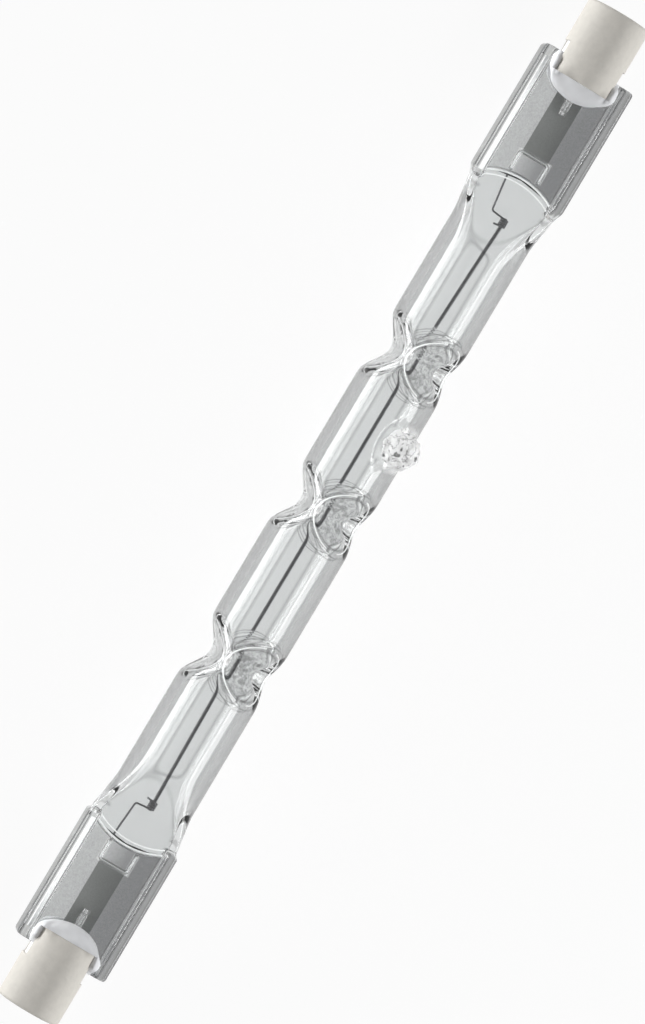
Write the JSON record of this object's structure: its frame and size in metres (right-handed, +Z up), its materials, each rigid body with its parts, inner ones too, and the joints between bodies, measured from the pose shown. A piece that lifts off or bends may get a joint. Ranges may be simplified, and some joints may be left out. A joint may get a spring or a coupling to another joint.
{
  "type": "linear halogen bulb",
  "caption": "Slim clear glass tube lamp with pressed dents, a side exhaust tip, flat ribbed seals and a slotted ceramic cap with a recessed contact at each end.",
  "frame": {"origin": "on the floor that the lamp lies on, midway along it and midway across it", "axes": "the lamp's axis runs along X at y = 0 and z = 4.4 mm, and its seals lie level; +X along the lamp's axis towards the end that the exhaust tip is nearer to, +Z up, -Y the side that the exhaust tip leans to"},
  "size_m": [0.1176, 0.0104, 0.0102],
  "materials": {
    "quartz": "clear, fire-polished, with pressed dents and rough rib edges",
    "tungsten": "dark grey drawn wire",
    "lead_wire": "dark grey drawn wire",
    "molybdenum_foil": "dull grey rolled foil",
    "pin_metal": "bright drawn pin",
    "cap_ceramic": "matt, fine grained, off-white",
    "cement": "matt white cement",
    "contact_metal": "dull nickel-plated"
  },
  "bodies": {
    "root": {"envelope": "quartz", "filament": "tungsten", "lead_low": "lead_wire", "lead_high": "lead_wire", "foil_low": "molybdenum_foil", "foil_high": "molybdenum_foil", "outer_pin_low": "pin_metal", "outer_pin_high": "pin_metal", "ceramic_cap_low": "cap_ceramic", "ceramic_cap_high": "cap_ceramic", "cement_low": "cement", "cement_high": "cement", "contact_low": "contact_metal", "contact_high": "contact_metal"}
  },
  "joints": []
}
